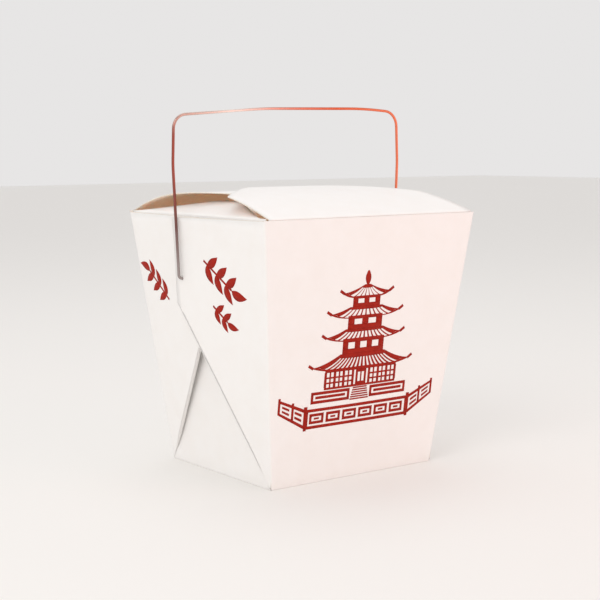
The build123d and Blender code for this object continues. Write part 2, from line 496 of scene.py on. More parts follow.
# %% [markdown]
# The webs are what makes this carton hold soup: the board between two panels isn't cut
# away but folded double against each end. Each one springs open a little about its corner,
# most where its slanting fold meets the middle, so a dark wedge shows under the fold. A
# web could be folded by turning a flat mesh about its creases, but a function that gives
# any point on either layer keeps the layers one board apart all the way down.

# %% Webs as functions
WEB_TOP = RIM - 0.8
WEB_ANGLE = 40.0
FREE_EDGE = {-1: 10.0, 1: -5.0}  # y of the upright free edge of the front and back webs
SPRING_LOW = {-1: 5.6, 1: 2.7}  # degrees, low down where the webs are free to spread
SPRING_RIM = {-1: 3.5, 1: 1.25}  # and at the rim, where the flaps hold them
END_RECESS = 2 * LAYER
CORNER_SLANT = atan2((TOP_DEPTH - BOTTOM_DEPTH) / 2, hypot(RIM, (TOP_WIDTH - BOTTOM_WIDTH) / 2))


def pressed_flat(z):
    """Folded layers have no room at the base corner: 0 there, 1 a little higher."""
    return blend_step(0.0, 12.0, z)


def end_flat(y, z):
    """A point of the -X end as if everything lay in one plane."""
    return Vector((corner(-1, 1, z).x, y, z))


def web_point(side_y, y, z, depth=0.0):
    """A point on a web, depth millimetres behind its outside."""
    reach = abs(side_y * corner(-1, 1, z).y - y) * cos(CORNER_SLANT)
    settle = blend_step(66.0, WEB_TOP, z)
    spring = SPRING_LOW[side_y] + (SPRING_RIM[side_y] - SPRING_LOW[side_y]) * settle
    out = reach * sin(radians(spring)) - depth * pressed_flat(z)
    return end_flat(y, z) + END_NORMAL * out


def web_leg(side_y):
    """Height at which the slanting fold meets the web's free edge."""
    start = corner(-1, side_y, 0)
    up = (corner(-1, side_y, RIM) - start).normalized()
    inward = END_NORMAL.cross(up) * -side_y
    leg = up * cos(radians(WEB_ANGLE)) + inward * sin(radians(WEB_ANGLE))
    run = (FREE_EDGE[side_y] - start.y) / leg.y
    return start.z + run * leg.z


def end_point(y, z):
    """A point on the end panel, which lies behind the webs."""
    half = corner(-1, 1, z).y
    dish = END_DISH * max(0.0, 1 - (y / half) ** 2) * sin(pi * min(z / RIM, 1))
    return end_flat(y, z) - END_NORMAL * (END_RECESS * pressed_flat(z) + dish)


for side_y in (-1, 1):
    print("slanting fold meets the free edge at z =", round(web_leg(side_y), 1))

# %% [markdown]
# Now the sheet itself. Each panel is a grid pushed into place by its function, and grids
# that share a crease share its vertices, so that merging doubles turns them into one
# folded sheet. Extruding a box would be quicker, but its flat walls couldn't bow or
# spring. The slanting fold of a web is a half-round turn between its two layers.

# %% Fold the carton's sheet
ROWS = 24
FACE_COLUMNS = 26
END_COLUMNS = 20
WEB_COLUMNS = 16
FLAP_ROOT = TOP_WIDTH / 2 - 2.0
END_FLAP_ROOT = TOP_DEPTH / 2 - 5.0
FRONT_PANEL_TOP = RIM - BOARD_THICK - 0.05
FOLD_RADIUS = (BOARD_THICK + LAYER) / 2

face_share = FLAP_ROOT / (TOP_WIDTH / 2)
face_across = stations([-1, *even(-face_share, face_share, FACE_COLUMNS - 2), 1])
end_share = END_FLAP_ROOT / (TOP_DEPTH / 2 - 2 * BOARD_THICK)
end_across = stations([-1, *even(-end_share, end_share, END_COLUMNS - 2), 1])
web_heights = even(0.0, WEB_TOP, ROWS - 1)


def add_face(bm, side_y, top):
    """The front or back panel."""
    height_at = stations([*web_heights, top])
    grid_sheet(
        bm, FACE_COLUMNS, ROWS, lambda u, v: face_point(side_y, face_across(u), height_at(v))
    )


BOTH_SIDES_WHITE = 3  # a web hides its food side, so both its faces look like the outside


def add_web(bm, side_y):
    """One web at the -X end: outer layer, slanting fold and inner layer."""
    edge, low = FREE_EDGE[side_y], web_leg(side_y)

    def spot(u, v):
        corner_z = WEB_TOP * v
        corner_y = side_y * corner(-1, 1, corner_z).y
        free_z = low + (WEB_TOP - low) * v
        return corner_y + (edge - corner_y) * u, corner_z + (free_z - corner_z) * u

    def outer(u, v):
        return web_point(side_y, *spot(u, v))

    def inner(u, v):
        y, z = spot(u, v)
        clear = 2 * LAYER if u == 0 else 0.0
        return web_point(side_y, y - side_y * clear * pressed_flat(z), z, FOLD_RADIUS * 2)

    leg = (outer(1, 0) - outer(0, 0)).normalized()
    away = leg.cross(END_NORMAL) * -side_y

    def turn(u, v):
        swing = pi * v
        front, back = outer(u, 0), inner(u, 0)
        bulge = away * FOLD_RADIUS * sin(swing) * pressed_flat(front.z)
        return front.lerp(back, (1 - cos(swing)) / 2) + bulge

    parts = [
        grid_sheet(bm, WEB_COLUMNS, ROWS - 1, outer),
        grid_sheet(bm, WEB_COLUMNS, ROWS - 1, inner),
        grid_sheet(bm, WEB_COLUMNS, 6, turn),
    ]
    for face in {face for part in parts for vert in part for face in vert.link_faces}:
        face.material_index = BOTH_SIDES_WHITE


# %% [markdown]
# The end panel lies behind both webs. From its top, a small flap leans in under the arch
# of the large ones, so its slope follows from the arch's height.

# %% End panel and end flap
FRONT_RISE, FRONT_RADIUS = 19.3, 176.0  # slope of the front flap's arch at the rim


def front_roof(y):
    """Height of the front flap's outside above the rim."""
    rise = radians(FRONT_RISE)
    beyond = FRONT_RADIUS * sin(rise) - (y - rim_fold.y)
    return sqrt(FRONT_RADIUS**2 - beyond**2) - FRONT_RADIUS * cos(rise)


END_FLAP_LENGTH = 18.5
END_FLAP_DROP = 3.8  # below the arch above it
END_FLAP_TAPER = 64.0  # degrees, of its slanting sides
end_flap_tip = END_FLAP_ROOT - END_FLAP_LENGTH * tan(radians(END_FLAP_TAPER))
end_flap_rise = front_roof(-end_flap_tip) - BOARD_THICK - END_FLAP_DROP
end_flap_lean = asin(end_flap_rise / END_FLAP_LENGTH)
print("end flap leans", round(degrees(end_flap_lean), 1), "tip half", round(end_flap_tip, 1))


def add_end(bm):
    """The -X end panel and the small flap folded in from its top."""
    height_at = stations(even(0.0, RIM, ROWS))

    def panel(u, v):
        z = height_at(v)
        half = corner(-1, 1, z).y - 2 * BOARD_THICK * pressed_flat(z)
        return end_point(end_across(u) * half, z)

    def flap(u, v):
        run = END_FLAP_LENGTH * v
        half = END_FLAP_ROOT - run * tan(radians(END_FLAP_TAPER))
        fold = end_point(half * (2 * u - 1), RIM)
        fold.x += run * cos(end_flap_lean)
        fold.z += run * sin(end_flap_lean)
        return fold

    grid_sheet(bm, END_COLUMNS, ROWS, panel)
    grid_sheet(bm, END_COLUMNS - 2, 6, flap)


# %% [markdown]
# The two large flaps are arches. A profile is a chain of runs, each with a length and the
# angle it turns through, as a bender would describe a strip, so the board keeps its
# length however the arch is changed. A freehand curve would stretch it.

# %% Profiles of the flaps
def profile(start, heading, runs):
    """Turn runs of (length, degrees turned) into a function from distance to (y, z)."""
    legs = []
    point, angle = Vector(start), radians(heading)
    for length, turned in runs:
        legs.append((point.copy(), angle, length, radians(turned)))
        point = leg_point(*legs[-1], length)
        angle += radians(turned)

    def at(distance):
        for start_point, start_angle, length, turned in legs:
            if distance <= length + 1e-9:
                break
            distance -= length
        return leg_point(start_point, start_angle, length, turned, min(distance, length))

    return at


def leg_point(start, angle, length, turned, distance):
    """A point part of the way along one run, straight or curved."""
    if abs(turned) < 1e-9:
        return start + Vector((cos(angle), sin(angle))) * distance
    radius = length / turned
    swept = distance / radius
    across = Vector((sin(angle + swept) - sin(angle), cos(angle) - cos(angle + swept)))
    return start + across * radius


FLAP_GAP = 0.1
TONGUE_REACH, TONGUE_BEND, TONGUE_LENGTH = 67.6, 2.2, 5.0
TONGUE_ROOT = 6.1  # from the ledge beside the tongue to the tongue
BACK_OVERLAP = 26.0  # of the back flap under the front one, measured from the tongue
TONGUE_Y = rim_fold.y + TONGUE_REACH
LEDGE_Y = TONGUE_Y - TONGUE_ROOT
BACK_RISE, BACK_TURN, BACK_RADIUS = 30.0, 27.0, 300.0
BACK_TIP_Y = TONGUE_Y - BACK_OVERLAP

arch_end = radians(BACK_RISE - BACK_TURN)
back_crown = min(front_roof(BACK_TIP_Y), front_roof(TONGUE_Y)) - BOARD_THICK - FLAP_GAP
arch_crown = back_crown - BACK_RADIUS * (1 - cos(arch_end))
arch_radius = arch_crown / (cos(arch_end) - cos(radians(BACK_RISE)))
arch_length = arch_radius * radians(BACK_TURN)
arch_run = arch_radius * (sin(radians(BACK_RISE)) - sin(arch_end))
flat_run = TOP_DEPTH / 2 - arch_run - BACK_TIP_Y
flat_turn = degrees(arch_end - asin(sin(arch_end) - flat_run / BACK_RADIUS))
flat_length = BACK_RADIUS * radians(flat_turn)
back_profile = profile(
    (TOP_DEPTH / 2, RIM), 180 - BACK_RISE, [(arch_length, BACK_TURN), (flat_length, flat_turn)]
)
print("back flap crown", round(RIM + back_crown, 2), "arch radius", round(arch_radius, 1))

# %% [markdown]
# The back flap is part of the sheet. It tapers towards its tip, and a slit across it takes
# the front flap's tongue, so the grid is cut along the slit's four sides and opened.

# %% Back flap
BACK_TAPER = 15.0
BACK_ROWS = 28
TONGUE_HALF = 17.0
SLIT_CLEARANCE = 0.9
SLIT_HALF = TONGUE_HALF + SLIT_CLEARANCE
SLIT_NEAR = TONGUE_Y - BOARD_THICK - SLIT_CLEARANCE
SLIT_FAR = TONGUE_Y + SLIT_CLEARANCE


def add_back_flap(bm):
    length = arch_length + flat_length

    def place(u, v):
        y, z = back_profile(length * v)
        taper = BACK_TAPER * (TOP_DEPTH / 2 - y) / (TOP_DEPTH / 2 - BACK_TIP_Y)
        return Vector(((2 * u - 1) * (FLAP_ROOT - taper), y, z))

    verts = grid_sheet(bm, FACE_COLUMNS - 2, BACK_ROWS, place)
    cuts = [(-SLIT_HALF, 0, 0), (SLIT_HALF, 0, 0), (0, SLIT_NEAR, 0), (0, SLIT_FAR, 0)]
    faces = list({face for vert in verts for face in vert.link_faces})
    for cut in cuts:
        across = Vector([1.0 if c else 0.0 for c in cut])
        geom = [e for f in faces for e in (f, *f.edges, *f.verts)]
        done = bmesh.ops.bisect_plane(
            bm, geom=list(set(geom)), dist=0.001, plane_co=cut, plane_no=across
        )
        faces = [g for g in done["geom"] if isinstance(g, bmesh.types.BMFace)]
    open_faces = []
    for face in faces:
        middle = face.calc_center_median()
        if abs(middle.x) < SLIT_HALF and SLIT_NEAR < middle.y < SLIT_FAR:
            open_faces.append(face)
    bmesh.ops.delete(bm, geom=open_faces, context="FACES")


# %% [markdown]
# A crease in board is never a knife edge: the score lets it turn over about half a
# millimetre. So once the grids are one sheet, the edges that lie on a crease are found by
# where they are and bevelled round. A Bevel modifier picks edges by angle, and would round
# the cut edges too. These tests say what lies on each kind of crease.

# %% Where the creases are
NEAR = 0.01  # how close a vertex has to lie to count as on a crease


def crease_edges(bm, test):
    """The edges whose two ends both pass the test."""
    return [e for e in bm.edges if test(e.verts[0].co) and test(e.verts[1].co)]


def on_corner(co):
    where = corner(-1 if co.x < 0 else 1, -1 if co.y < 0 else 1, co.z)
    return (where - co).length < 2 * NEAR and co.z < WEB_TOP + NEAR


def on_base_edge(co):
    at_side = abs(abs(co.x) - BOTTOM_WIDTH / 2) < NEAR
    at_face = abs(abs(co.y) - BOTTOM_DEPTH / 2) < NEAR
    return abs(co.z) < NEAR and (at_side or at_face)


def on_back_fold(co):
    at_rim = abs(co.z - RIM) < NEAR and abs(co.y - TOP_DEPTH / 2) < NEAR
    return at_rim and abs(co.x) < FLAP_ROOT + NEAR


def on_end_fold(co):
    edge = abs(end_point(co.y, RIM).x)
    return abs(co.z - end_point(0, RIM).z) < NEAR and abs(abs(co.x) - edge) < NEAR


# %% [markdown]
# The wire passes through two layers of each web and the end panel behind them. A hole
# starts as a vertex in each layer, moved to the wire's axis and bevelled into a ring,
# which keeps the rest of the grid as it was. A boolean needs a closed solid, and this
# sheet has no thickness yet.

# %% Holes for the wire
HOLE_RADIUS = 0.7
LAYER_REACH = 0.35  # less than half the distance between two layers


def punch_hole(bm, target, layer):
    """Move the layer's nearest vertex to the wire's axis and open it into a hole."""
    vert = min(layer, key=lambda v: (v.co - target).length)
    vert.co = target
    ring = bmesh.ops.bevel(
        bm,
        geom=[vert],
        offset=HOLE_RADIUS,
        segments=3,
        profile=0.5,
        affect="VERTICES",
        material=-1,
    )
    middle = [f for f in ring["faces"] if (f.calc_center_median() - target).length < 0.1]
    bmesh.ops.delete(bm, geom=middle, context="FACES")


# %% [markdown]
# One end is made, holes and all, and mirrored. The panels that are already symmetrical
# join it, doubles are merged, and the printed side is turned outwards.

# %% One sheet from all the grids
def fold_sheet():
    """The whole carton but its front flap, as one open sheet of printed-face vertices."""
    bm = bmesh.new()
    for side_y in (-1, 1):
        add_web(bm, side_y)
    add_end(bm)
    axis_y, axis_z = wire_hinge.y, wire_hinge.z
    targets = [web_point(s, axis_y, axis_z, d) for s in (-1, 1) for d in (0, 2 * FOLD_RADIUS)]
    for target in [*targets, end_point(axis_y, axis_z)]:
        layer = [
            v for v in bm.verts if abs((v.co - target).dot(END_NORMAL)) < LAYER_REACH
        ]
        punch_hole(bm, target, layer)
    everything = [*bm.verts, *bm.edges, *bm.faces]
    bmesh.ops.mirror(bm, geom=everything, matrix=Matrix.Identity(4), merge_dist=0, axis="X")

    add_face(bm, -1, FRONT_PANEL_TOP)
    add_face(bm, 1, RIM)
    add_back_flap(bm)
    grid_sheet(
        bm,
        FACE_COLUMNS,
        END_COLUMNS,
        lambda u, v: Vector(
            (face_across(u) * BOTTOM_WIDTH / 2, end_across(v) * BOTTOM_DEPTH / 2, 0.0)
        ),
    )
    bmesh.ops.remove_doubles(bm, verts=bm.verts, dist=0.01)
    bmesh.ops.recalc_face_normals(bm, faces=bm.faces)
    front_middle = face_point(-1, 0, RIM / 2)
    front = min(bm.faces, key=lambda f: (f.calc_center_median() - front_middle).length)
    if front.normal.y > 0:
        bmesh.ops.reverse_faces(bm, faces=bm.faces)
    return bm


CREASE_ROUND = 0.75


def round_creases(bm):
    """Bevel every crease of the folded sheet to the radius that a score gives."""
    for test in (on_corner, on_base_edge, on_back_fold, on_end_fold):
        edges = [e for e in crease_edges(bm, test) if len(e.link_faces) == 2]
        print(test.__name__, len(edges), "edges")
        bmesh.ops.bevel(
            bm,
            geom=edges,
            offset=CREASE_ROUND,
            segments=3,
            profile=0.5,
            affect="EDGES",
            clamp_overlap=True,
            material=-1,
        )


sheet = fold_sheet()
round_creases(sheet)
print("folded sheet", len(sheet.faces), "faces")

# %% [markdown]
# So far the sheet has no thickness. Solidify gives it the board, inwards from the printed
# face, and two material offsets show bare fibre on the cut edges and the painted warm shade
# inside.
# A vertex group thins it where the folded webs are pressed into the base corners. Doing
# this last means that every crease and hole above had to be made only once.

# %% Give the sheet its board
PRESSED_SHARE = 0.05  # of the full thickness, at the very corner


def mark_pressed_corners(bm):
    """Weigh each vertex: the webs' board is pressed thin where it meets the base."""
    weights = bm.verts.layers.deform.verify()
    for vert in bm.verts:
        on_web = any(face.material_index == BOTH_SIDES_WHITE for face in vert.link_faces)
        vert[weights][0] = pressed_flat(vert.co.z) if on_web else 1.0


def board_thickness(piece):
    """Give an open sheet its board, inward from the printed face, with bare cut edges."""
    thick = piece.modifiers.new("board", "SOLIDIFY")
    thick.thickness = BOARD_THICK * MM
    thick.offset = -1
    thick.use_even_offset = True
    thick.thickness_clamp = 1.5  # no even offset past this many edge lengths
    thick.material_offset = 2
    thick.material_offset_rim = 1
    return thick


mark_pressed_corners(sheet)
# The third finish, for the faces inside, carries the painted warm shade.
board_finishes = [board_finish, edge_finish, inside_painted_shade_finish]
web_finishes = [board_finish, edge_finish, board_finish]
carton_board = finish_piece(
    "carton_board", sheet, "carton_body", board_finishes + web_finishes
)
thickness = board_thickness(carton_board)
thickness.vertex_group = carton_board.vertex_groups.new(name="board").name
thickness.thickness_vertex_group = PRESSED_SHARE
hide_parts("carton")
print("carton sheet", len(carton_board.data.polygons), "faces")

# %% [markdown]
# The front flap is the same sheet, but it moves, so it is a piece of its own. Its profile
# starts with the half-round of its crease, runs up over the carton as a long arch and ends
# in a tongue that turns down into the slit. Its plan is a sash with slanting corners.

# %% Front flap
FLAP_SIDE = FLAP_ROOT - 2.0
LEDGE_HALF = TONGUE_HALF + 2.0
FOLD_ROUND = 0.6
panel_heading = 90 + degrees(atan2((TOP_DEPTH - BOTTOM_DEPTH) / 2, RIM))
fold_turn = FRONT_RISE - panel_heading
fold_setback = FOLD_ROUND * tan(radians(-fold_turn / 2))
arch_share = (TONGUE_REACH - TONGUE_BEND) / FRONT_RADIUS
arch_end_slope = degrees(asin(sin(radians(FRONT_RISE)) - arch_share))
arch_top = FRONT_RADIUS * (cos(radians(arch_end_slope)) - cos(radians(FRONT_RISE)))
tongue_slope = degrees(atan2(arch_top, TONGUE_REACH)) - 90
fold_start = Vector((rim_fold.y, RIM)) - fold_setback * Vector(
    (cos(radians(panel_heading)), sin(radians(panel_heading)))
)
FOLD_LENGTH = FOLD_ROUND * radians(-fold_turn)
ROOF_LENGTH = FRONT_RADIUS * radians(FRONT_RISE - arch_end_slope) - fold_setback
BEND_LENGTH = TONGUE_BEND * radians(arch_end_slope - tongue_slope)
front_profile = profile(
    fold_start,
    panel_heading,
    [
        (FOLD_LENGTH, fold_turn),
        (ROOF_LENGTH, arch_end_slope - FRONT_RISE),
        (BEND_LENGTH, tongue_slope - arch_end_slope),
        (TONGUE_LENGTH, 0),
    ],
)


def roof_distance(y):
    """Distance along the flap's profile to a plan place on its arch."""
    low, high = 0.0, ROOF_LENGTH
    for _ in range(30):
        middle = (low + high) / 2
        if front_profile(FOLD_LENGTH + middle)[0] < y:
            low = middle
        else:
            high = middle
    return FOLD_LENGTH + (low + high) / 2


# %% [markdown]
# The flap's rows are close together in its two bends and where its plan turns a corner,
# and far apart on the long arch, which needs few.

# %% Front flap in board
SIDE_END = LEDGE_Y - (FLAP_SIDE - LEDGE_HALF)
ROOF_END = FOLD_LENGTH + ROOF_LENGTH
BEND_END = ROOF_END + BEND_LENGTH
FLAP_END = BEND_END + TONGUE_LENGTH
TONGUE_NARROWS = 1.6  # on each side, so that it finds the slit
FLAP_COLUMNS = 30


def flap_half_width(y, distance):
    """Half of the flap's width, from its place in plan and along its profile."""
    if distance > ROOF_END:
        return TONGUE_HALF - TONGUE_NARROWS * blend_step(BEND_END, FLAP_END, distance)
    if y <= SIDE_END:
        share = max(0.0, (y - rim_fold.y) / (SIDE_END - rim_fold.y))
        return FLAP_ROOT + (FLAP_SIDE - FLAP_ROOT) * share
    if y <= LEDGE_Y + NEAR:
        return FLAP_SIDE - (y - SIDE_END)
    return TONGUE_HALF


def make_front_flap():
    stops = even(0, FOLD_LENGTH, 5)
    stops += [roof_distance(y) for y in even(rim_fold.y + 1.5, SIDE_END, 10)]
    stops += [roof_distance(y) for y in even(SIDE_END, LEDGE_Y, 10)[1:]]
    stops += [roof_distance(y) for y in even(LEDGE_Y + 0.6, TONGUE_Y - TONGUE_BEND, 3)]
    stops += even(ROOF_END, BEND_END, 8)[1:]
    stops += even(BEND_END, FLAP_END, 3)[1:]
    distance_at = stations(stops)

    def place(u, v):
        y, z = front_profile(distance_at(v))
        half = flap_half_width(y, distance_at(v))
        return Vector(((2 * u - 1) * half, y, z))

    bm = bmesh.new()
    grid_sheet(bm, FLAP_COLUMNS, len(stops) - 1, place)
    bmesh.ops.recalc_face_normals(bm, faces=bm.faces)
    top = max(bm.faces, key=lambda f: f.calc_center_median().z)
    if top.normal.z < 0:
        bmesh.ops.reverse_faces(bm, faces=bm.faces)
    piece = finish_piece("front_flap_board", bm, "flap", board_finishes)
    board_thickness(piece)
    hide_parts("front_flap")
    return piece


front_flap_board = make_front_flap()
print("front flap", len(front_flap_board.data.polygons), "faces")

# %% [markdown]
# The bail is one wire, bent by hand in a jig, so its top bar bows up and leans a little and
# its two corners differ. A curve with a round bevel is drawn through the bends: each bend
# is an arc between two straight runs, as a bending machine would make it. The wire stays
# round through every bend, which an extruded circle wouldn't.

# %% Wire bail
WIRE_RADIUS = (wire_high.y - wire_low.y) / 2
LEG_LEAN = tan(radians(2.6))
SHOULDER_X = wire_high.x - WIRE_RADIUS
SHOULDER_Z = RIM + 20.0
FOOT_X = SHOULDER_X - (SHOULDER_Z - wire_hinge.z) * LEG_LEAN
CORNER_X = SHOULDER_X - 0.7
CLINCH_X = 47.2  # where the ends are bent down inside the carton
CLINCH_Z = wire_low.z

wire_route = [  # (x, z, bend radius)
    (-CLINCH_X, CLINCH_Z, 0),
    (-CLINCH_X, wire_hinge.z, 1.5),
    (-FOOT_X, wire_hinge.z, 1.5),
    (-SHOULDER_X, SHOULDER_Z, 60),
    (-CORNER_X, RIM + 39.8, 6),
    (-CORNER_X + 43.8, RIM + 42.9, 200),
    (CORNER_X - 18.8, RIM + 43.5, 200),
    (CORNER_X, RIM + 42.1, 7),
    (SHOULDER_X, SHOULDER_Z, 60),
    (FOOT_X, wire_hinge.z, 1.5),
    (CLINCH_X, wire_hinge.z, 1.5),
    (CLINCH_X, CLINCH_Z, 0),
]


def bend(before, at, after, radius, steps=8):
    """Points of the arc that rounds one corner of the wire's route."""
    to_before, to_after = (before - at).normalized(), (after - at).normalized()
    half = to_before.angle(to_after) / 2
    setback = radius / tan(half)
    centre = at + (to_before + to_after).normalized() * radius / sin(half)
    first, last = at + to_before * setback, at + to_after * setback
    start = first - centre
    sweep = start.angle(last - centre)
    axis = start.cross(last - centre)
    turns = [Matrix.Rotation(sweep * i / steps, 3, axis) for i in range(steps + 1)]
    return [centre + turn @ start for turn in turns]


def make_wire():
    places = [Vector((x, wire_hinge.y, z)) for x, z, _ in wire_route]
    points = [places[0]]
    for i in range(1, len(places) - 1):
        points += bend(places[i - 1], places[i], places[i + 1], wire_route[i][2])
    points.append(places[-1])
    data = bpy.data.curves.new("bail_wire", "CURVE")
    data.dimensions = "3D"
    data.bevel_depth = WIRE_RADIUS * MM
    data.bevel_resolution = 5
    data.use_fill_caps = True
    spline = data.splines.new("POLY")
    spline.points.add(len(points) - 1)
    for spot, point in zip(spline.points, points):
        spot.co = (*(point * MM), 1.0)
    spline.use_smooth = True
    wire = bpy.data.objects.new("bail_wire", data)
    bpy.context.scene.collection.objects.link(wire)
    data.materials.append(wire_finish)
    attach(wire, "bail")
    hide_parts("wire_bail")
    return wire


bail_wire = make_wire()
print("wire radius", round(WIRE_RADIUS, 2), "width", round(2 * SHOULDER_X, 1))

# %% [markdown]
# The print. On a real carton it is a film of ink a few thousandths of a millimetre thick.
# Here it is a sheet of its own, drawn flat with rectangles, bands and leaves in
# millimetres, then laid on the bowed panel by the panel's own function, and raised just
# enough to show. A mask in the board's material could do it without more faces, but shapes
# in a mesh are easier to draw and stay sharp from close by. The motif is a plain tiered
# tower drawn from scratch, the same on both sides of its axis.

# %% Drawing with ink
INK_PROUD = 0.04
INK_FILM = 0.08
CELL = 4.0  # widest cell of a shape, so that it follows the bowed panel
INK_STEP = 0.002  # each shape lies this much higher, so that crossings don't flicker


class Drawing:
    """Flat shapes in one mesh: x across, z up, and y the order they were drawn in."""

    def __init__(self):
        self.bm = bmesh.new()
        self.order = 0

    def patch(self, columns, rows, place):
        """A grid whose place(u, v) returns (x, z)."""
        self.order = (self.order + 1) % 8
        lift = self.order * INK_STEP

        def spot(u, v):
            x, z = place(u, v)
            return Vector((x, lift, z))

        grid_sheet(self.bm, columns, rows, spot)

    def plank(self, x0, z0, x1, z1):
        """An upright rectangle."""
        columns = max(1, ceil(abs(x1 - x0) / CELL))
        rows = max(1, ceil(abs(z1 - z0) / CELL))
        self.patch(columns, rows, lambda u, v: (x0 + (x1 - x0) * u, z0 + (z1 - z0) * v))

    def stroke(self, start, end, width):
        """A straight bar from one point to another."""
        (ax, az), (bx, bz) = start, end
        length = hypot(bx - ax, bz - az)
        nx, nz = -(bz - az) / length * width / 2, (bx - ax) / length * width / 2

        def spot(u, v):
            side = 2 * v - 1
            return ax + (bx - ax) * u + nx * side, az + (bz - az) * u + nz * side

        self.patch(max(1, ceil(length / CELL)), 1, spot)

    def frame(self, x0, z0, x1, z1, width):
        """A hollow rectangle."""
        self.plank(x0, z0, x1, z0 + width)
        self.plank(x0, z1 - width, x1, z1)
        self.plank(x0, z0 + width, x0 + width, z1 - width)
        self.plank(x1 - width, z0 + width, x1, z1 - width)


def print_piece(name, drawing, surface):
    """Lay a drawing on a surface function and give the ink its body."""
    bm = drawing.bm
    for vert in bm.verts:
        vert.co = surface(vert.co.x, vert.co.z, INK_PROUD + vert.co.y)
    bmesh.ops.recalc_face_normals(bm, faces=bm.faces)
    middle = Vector((0, 0, RIM / 2))
    inward = [f for f in bm.faces if f.normal.dot(f.calc_center_median() - middle) < 0]
    bmesh.ops.reverse_faces(bm, faces=inward)
    piece = finish_piece(name, bm, "carton_body", [ink_finish])
    film = piece.modifiers.new("ink film", "SOLIDIFY")
    film.thickness = INK_FILM * MM
    film.offset = -1
    print(name, len(piece.data.polygons), "faces")
    return piece


# %% [markdown]
# A tiled roof seen from the front is a curved trapezium: steep at the ridge, flat at the
# eaves, with both tips swept up. One function gives any point on it, and bands and ribs
# are cut from that.

# %% Tiered tower on the front panel
AXIS_X = -1.5
TIP_SWEEP = 2.3
RIDGE_BAND, EAVE_BAND = 0.17, 0.8  # shares of a roof's slope
HIP_BAND = 0.83  # share of its half width
RIB_HALF = 0.028


def roof_spot(roof, s, t):
    """A point on a roof: s from -1 to 1 across, t from 0 at the ridge to 1 at the eaves."""
    ridge_z, eave_z, ridge_half, eave_half = roof
    half = ridge_half + (eave_half - ridge_half) * t
    eave_at = eave_z + TIP_SWEEP * abs(s) ** 4
    slope = 1 - (1 - t) ** 1.7
    return AXIS_X + s * half, ridge_z + (eave_at - ridge_z) * slope


def roof_part(drawing, roof, s0, s1, t0, t1, columns=1, rows=1):
    """A band of a roof, from s0 to s1 across and t0 to t1 down."""
    drawing.patch(
        columns, rows, lambda u, v: roof_spot(roof, s0 + (s1 - s0) * u, t0 + (t1 - t0) * v)
    )


def draw_roof(drawing, roof, ribs):
    """Ridge, eaves, both hips and the rows of tiles between them."""
    tiles = (RIDGE_BAND, EAVE_BAND)
    roof_part(drawing, roof, -1, 1, 0.0, RIDGE_BAND, columns=12)
    roof_part(drawing, roof, -1, 1, EAVE_BAND, 1.0, columns=28)
    for side in (-1, 1):
        roof_part(drawing, roof, side * HIP_BAND, side, *tiles, rows=6)
    for i in range(ribs):
        s = HIP_BAND * (2 * (i + 0.75) / (ribs + 0.5) - 1)
        roof_part(drawing, roof, s - RIB_HALF, s + RIB_HALF, *tiles, rows=6)
    for side in (-1, 1):  # a small upright horn on each tip
        x, z = roof_spot(roof, side, 1.0)
        drawing.stroke((x - side * 1.1, z - 0.25), (x + side * 1.2, z + 1.2), 1.15)


def draw_storey(drawing, low, high, half, windows):
    """A wall under a roof: two rails, and piers with windows left between them."""
    sill, lintel = low + (high - low) * 0.38, high - (high - low) * 0.24
    drawing.plank(AXIS_X - half, low, AXIS_X + half, sill)
    drawing.plank(AXIS_X - half, lintel, AXIS_X + half, high)
    pier = half * 2 / (windows * 2.2 + 1)
    opening = (half * 2 - pier * (windows + 1)) / windows
    for i in range(windows + 1):
        x = AXIS_X - half + i * (pier + opening)
        drawing.plank(x, sill, x + pier, lintel)


tower_roofs = [  # ridge height, eave height, half ridge, half eave, ribs
    (80.4, 75.0, 1.4, 12.6, 6),
    (71.6, 66.9, 8.2, 18.4, 9),
    (62.7, 57.6, 9.6, 20.2, 11),
    (52.6, 45.8, 11.4, 25.6, 15),
]
tower_walls = [  # foot, top, half width, windows
    (71.2, 75.9, 7.0, 2),
    (62.2, 68.0, 8.8, 2),
    (52.0, 58.8, 10.6, 3),
]

tower = Drawing()
for *roof, ribs in tower_roofs:
    draw_roof(tower, roof, ribs)
for low, high, half, windows in tower_walls:
    draw_storey(tower, low, high, half, windows)
tower.patch(2, 6, lambda u, v: (AXIS_X + (2 * u - 1) * (0.35 + 1.1 * sin(pi * v)), 80 + 6 * v))

# %% [markdown]
# The ground floor has a door between barred windows: tall piers, thin bars between them
# and two rails across, the same on both sides of the door.

# %% Ground floor
HALL_HALF, HALL_FOOT, HALL_TOP = 18.4, 38.6, 46.9
SILL, BEAM = HALL_FOOT + 0.9, HALL_TOP - 1.3
PIERS, PIER_HALF = (18.0, 13.4, 8.9, 4.2), 0.6  # places out from the tower's axis
BARS, BAR_HALF = (6.5, 11.1, 15.7), 0.38
RAILS, RAIL_HALF = (41.3, 43.4), 0.34

tower.plank(AXIS_X - HALL_HALF, BEAM, AXIS_X + HALL_HALF, HALL_TOP)
tower.plank(AXIS_X - HALL_HALF, HALL_FOOT, AXIS_X + HALL_HALF, SILL)
for side in (-1, 1):
    for out in PIERS:
        x = AXIS_X + side * out
        tower.plank(x - PIER_HALF, SILL, x + PIER_HALF, BEAM)
    for z in RAILS:
        tower.plank(AXIS_X + side * 4.7, z - RAIL_HALF, AXIS_X + side * 17.5, z + RAIL_HALF)
    for out in BARS:
        x = AXIS_X + side * out
        tower.plank(x - BAR_HALF, SILL, x + BAR_HALF, BEAM)
tower.frame(AXIS_X - 2.7, SILL, AXIS_X + 2.7, BEAM, 1.1)
tower.plank(AXIS_X - 0.35, SILL, AXIS_X + 0.35, BEAM)

# %% [markdown]
# The tower stands on a terrace with a stair in its middle, behind a low wall whose wings
# fold back on both sides.

# %% Terrace, stair and garden wall
TERRACE_HALF, TERRACE_LOW, TERRACE_HIGH = 24.5, 33.4, 38.2
STAIR_HALF, STAIR_TOP, STEP_HEIGHT, STEP_INK = 3.6, 38.4, 0.95, 0.58

